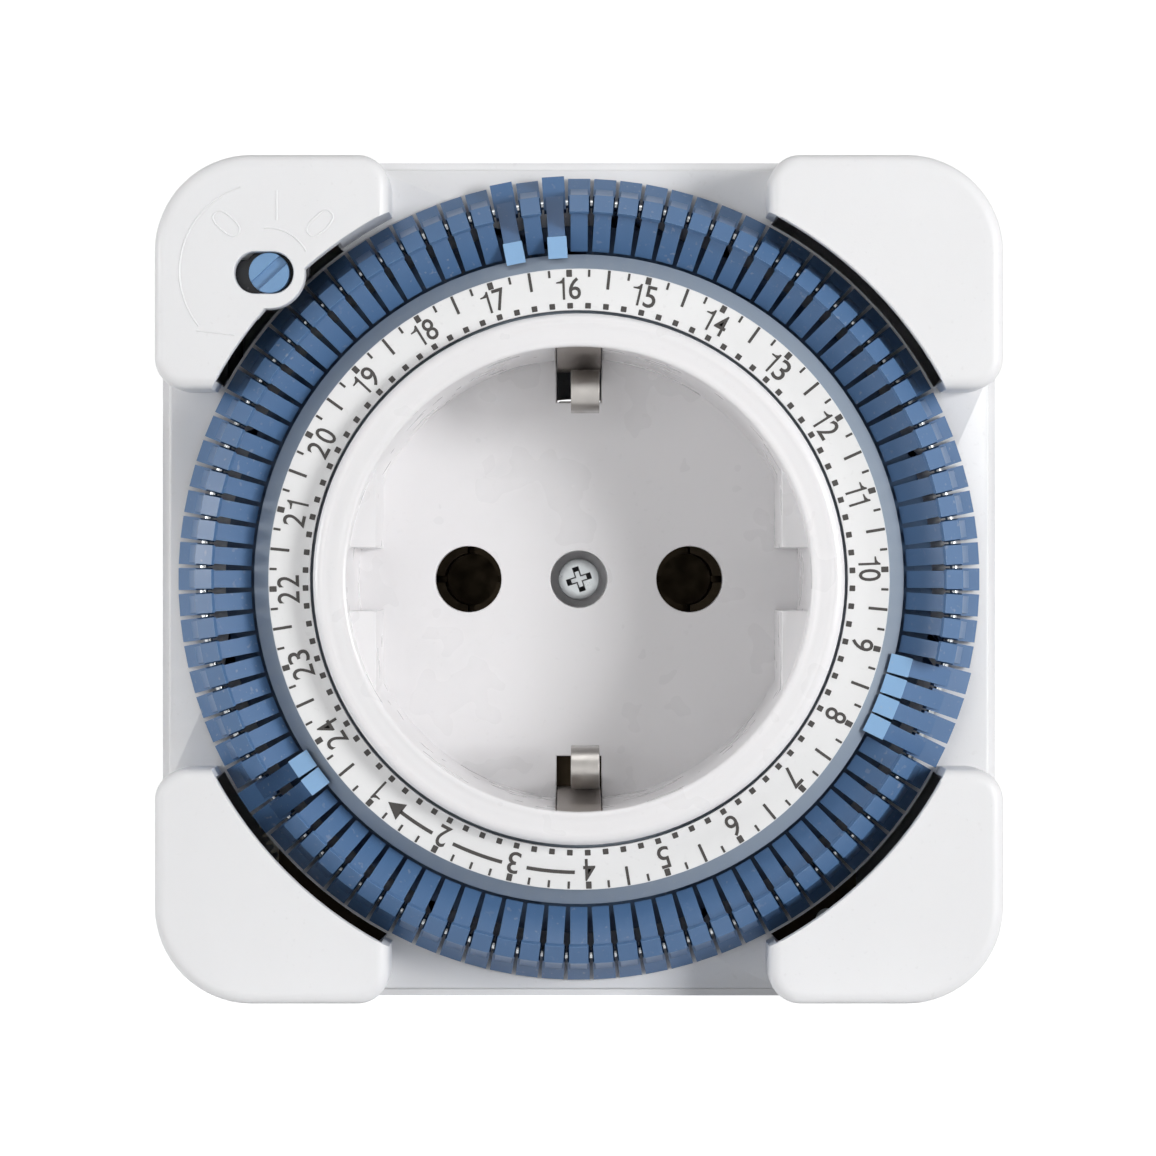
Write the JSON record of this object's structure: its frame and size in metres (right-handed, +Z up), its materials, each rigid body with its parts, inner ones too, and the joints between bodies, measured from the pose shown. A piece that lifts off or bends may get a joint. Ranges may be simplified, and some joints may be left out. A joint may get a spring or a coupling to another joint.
{
  "type": "plug-in timer switch",
  "caption": "Plug-in 24-hour mechanical timer switch: square housing with an earthed socket in a turning dial ringed by flip-over tabs, and a round plug body behind.",
  "frame": {"origin": "on the plug's axis at the housing's wall face", "axes": "+Y along the plug pins into the wall, -Y out of the socket towards the user, +Z up, +X to the user's right"},
  "size_m": [0.0702, 0.076, 0.0702],
  "materials": {
    "housing_white": "satin",
    "rear_white": "satin",
    "cup_white": "gloss",
    "inner_brass": "stamped",
    "zinc_steel": "zinc plated",
    "nickel": "nickel plated",
    "black_plastic": "moulded",
    "ivory_plastic": "moulded",
    "copper_coil": "enamelled winding",
    "lead_red": "insulation",
    "tab_blue": "moulded",
    "ring_white": "printed",
    "spring_steel": "bright wire",
    "knob_blue": "moulded",
    "rotor_ferrite": "sintered"
  },
  "bodies": {
    "root": {"front_housing": "housing_white", "rear_housing": "rear_white", "socket_cup": "cup_white", "centre_screw": "zinc_steel", "housing_screws": "zinc_steel", "line_pin": "nickel", "neutral_pin": "nickel", "line_contact": "inner_brass", "neutral_contact": "inner_brass", "contact_carrier": "black_plastic", "neutral_busbar": "inner_brass", "line_feed_busbar": "inner_brass", "line_out_busbar": "inner_brass", "earth_bow": "nickel", "plug_earth_bow": "nickel", "earth_link": "nickel", "microswitch_case": "black_plastic", "microswitch_cover": "black_plastic", "feed_terminal": "inner_brass", "out_terminal": "inner_brass", "contact_leaf": "inner_brass", "lower_gear_plate": "inner_brass", "upper_gear_plate": "inner_brass", "gear_pillars": "zinc_steel", "arbors": "zinc_steel", "motor_cup": "zinc_steel", "motor_claw_plate": "zinc_steel", "motor_bobbin": "ivory_plastic", "motor_coil": "copper_coil", "motor_leads": "lead_red", "rotor_pin": "zinc_steel"},
    "dial": {"dial_carrier": "tab_blue", "number_ring": "ring_white", "hinge_wire": "spring_steel", "standing_tabs": "tab_blue"},
    "tab_00": {"tab_00": "tab_blue"},
    "tab_02": {"tab_02": "tab_blue"},
    "tab_32": {"tab_32": "tab_blue"},
    "tab_33": {"tab_33": "tab_blue"},
    "tab_64": {"tab_64": "tab_blue"},
    "tab_65": {"tab_65": "tab_blue"},
    "tab_66": {"tab_66": "tab_blue"},
    "tab_67": {"tab_67": "tab_blue"},
    "tab_01": {"tab_01": "tab_blue"},
    "tab_31": {"tab_31": "tab_blue"},
    "tab_34": {"tab_34": "tab_blue"},
    "tab_63": {"tab_63": "tab_blue"},
    "tab_68": {"tab_68": "tab_blue"},
    "tab_80": {"tab_80": "tab_blue"},
    "slider": {"switch_slider": "black_plastic"},
    "knob": {"override_knob": "knob_blue"},
    "plunger": {"microswitch_plunger": "ivory_plastic"},
    "rotor": {"rotor": "rotor_ferrite"},
    "first_wheel": {"first_wheel": "ivory_plastic"},
    "second_wheel": {"second_wheel": "ivory_plastic"},
    "third_wheel": {"third_wheel": "ivory_plastic"},
    "fourth_wheel": {"fourth_wheel": "ivory_plastic"},
    "clutch_wheel": {"clutch_wheel": "ivory_plastic"},
    "drive": {"drive_pinion": "ivory_plastic", "clutch_spring": "spring_steel"}
  },
  "joints": [
    {"name": "dial_spin", "type": "hinge", "parent": "root", "child": "dial", "pos_m": [0, 0, 0], "axis": [0, 1, 0], "continuous": true},
    {"name": "tab_00_flip", "type": "hinge", "parent": "dial", "child": "tab_00", "pos_m": [-0.00204, -0.0326, 0.03143], "axis": [0.9979, 0, 0.0649], "range_deg": [-40, 0]},
    {"name": "tab_02_flip", "type": "hinge", "parent": "dial", "child": "tab_02", "pos_m": [-0.00613, -0.0326, 0.0309], "axis": [0.9809, 0, 0.1946], "range_deg": [-40, 0]},
    {"name": "tab_32_flip", "type": "hinge", "parent": "dial", "child": "tab_32", "pos_m": [-0.0262, -0.0326, -0.01749], "axis": [-0.5551, 0, 0.8318], "range_deg": [-40, 0]},
    {"name": "tab_33_flip", "type": "hinge", "parent": "dial", "child": "tab_33", "pos_m": [-0.025, -0.0326, -0.01916], "axis": [-0.6083, 0, 0.7937], "range_deg": [-40, 0]},
    {"name": "tab_64_flip", "type": "hinge", "parent": "dial", "child": "tab_64", "pos_m": [0.02824, -0.0326, -0.01395], "axis": [-0.4428, 0, -0.8966], "range_deg": [-40, 0]},
    {"name": "tab_65_flip", "type": "hinge", "parent": "dial", "child": "tab_65", "pos_m": [0.0291, -0.0326, -0.01207], "axis": [-0.3832, 0, -0.9237], "range_deg": [-40, 0]},
    {"name": "tab_66_flip", "type": "hinge", "parent": "dial", "child": "tab_66", "pos_m": [0.02982, -0.0326, -0.01014], "axis": [-0.3219, 0, -0.9468], "range_deg": [-40, 0]},
    {"name": "tab_67_flip", "type": "hinge", "parent": "dial", "child": "tab_67", "pos_m": [0.03042, -0.0326, -0.00817], "axis": [-0.2593, 0, -0.9658], "range_deg": [-40, 0]},
    {"name": "tab_01_flip", "type": "hinge", "parent": "dial", "child": "tab_01", "pos_m": [-0.0041, -0.0326, 0.03123], "axis": [0.9915, 0, 0.13], "range_deg": [0, 40]},
    {"name": "tab_31_flip", "type": "hinge", "parent": "dial", "child": "tab_31", "pos_m": [-0.02729, -0.0326, -0.01574], "axis": [-0.4995, 0, 0.8663], "range_deg": [0, 40]},
    {"name": "tab_34_flip", "type": "hinge", "parent": "dial", "child": "tab_34", "pos_m": [-0.02369, -0.0326, -0.02076], "axis": [-0.659, 0, 0.7522], "range_deg": [0, 40]},
    {"name": "tab_63_flip", "type": "hinge", "parent": "dial", "child": "tab_63", "pos_m": [0.02727, -0.0326, -0.01576], "axis": [-0.5005, 0, -0.8658], "range_deg": [0, 40]},
    {"name": "tab_68_flip", "type": "hinge", "parent": "dial", "child": "tab_68", "pos_m": [0.03089, -0.0326, -0.00616], "axis": [-0.1956, 0, -0.9807], "range_deg": [0, 40]},
    {"name": "tab_80_flip", "type": "hinge", "parent": "dial", "child": "tab_80", "pos_m": [0.0262, -0.0326, 0.01749], "axis": [0.5551, 0, -0.8318], "range_deg": [0, 40]},
    {"name": "slider_shift", "type": "slide", "parent": "root", "child": "slider", "axis": [1, 0, 0], "range_m": [-0.0011, 0.0003]},
    {"name": "knob_turn", "type": "hinge", "parent": "slider", "child": "knob", "pos_m": [-0.0256, -0.037, 0.0253], "axis": [0, -1, 0], "range_deg": [0, 90]},
    {"name": "plunger_press", "type": "slide", "parent": "root", "child": "plunger", "axis": [1, 0, 0], "range_m": [-0.0011, 0.0003]},
    {"name": "rotor_spin", "type": "hinge", "parent": "root", "child": "rotor", "pos_m": [0.00882, -0.015, -0.02087], "axis": [0, 1, 0], "continuous": true},
    {"name": "first_wheel_spin", "type": "hinge", "parent": "root", "child": "first_wheel", "pos_m": [0.00041, -0.015, -0.02206], "axis": [0, 1, 0], "continuous": true},
    {"name": "second_wheel_spin", "type": "hinge", "parent": "root", "child": "second_wheel", "pos_m": [-0.00848, -0.015, -0.02065], "axis": [0, 1, 0], "continuous": true},
    {"name": "third_wheel_spin", "type": "hinge", "parent": "root", "child": "third_wheel", "pos_m": [0.00041, -0.015, -0.02206], "axis": [0, 1, 0], "continuous": true},
    {"name": "fourth_wheel_spin", "type": "hinge", "parent": "root", "child": "fourth_wheel", "pos_m": [-0.00848, -0.015, -0.02065], "axis": [0, 1, 0], "continuous": true},
    {"name": "clutch_wheel_spin", "type": "hinge", "parent": "root", "child": "clutch_wheel", "pos_m": [-0.01867, -0.015, -0.01867], "axis": [0, 1, 0], "continuous": true},
    {"name": "drive_pinion_spin", "type": "hinge", "parent": "root", "child": "drive", "pos_m": [-0.01867, -0.015, -0.01867], "axis": [0, 1, 0], "continuous": true}
  ],
  "couplings": [
    {"joint": "drive_pinion_spin", "follows": "dial_spin", "ratio": -10},
    {"joint": "first_wheel_spin", "follows": "rotor_spin", "ratio": -0.13333},
    {"joint": "second_wheel_spin", "follows": "rotor_spin", "ratio": 0.016667},
    {"joint": "third_wheel_spin", "follows": "rotor_spin", "ratio": -0.0020833},
    {"joint": "fourth_wheel_spin", "follows": "rotor_spin", "ratio": 0.00026042},
    {"joint": "clutch_wheel_spin", "follows": "rotor_spin", "ratio": -0.000027778},
    {"joint": "plunger_press", "follows": "slider_shift", "ratio": 1}
  ]
}
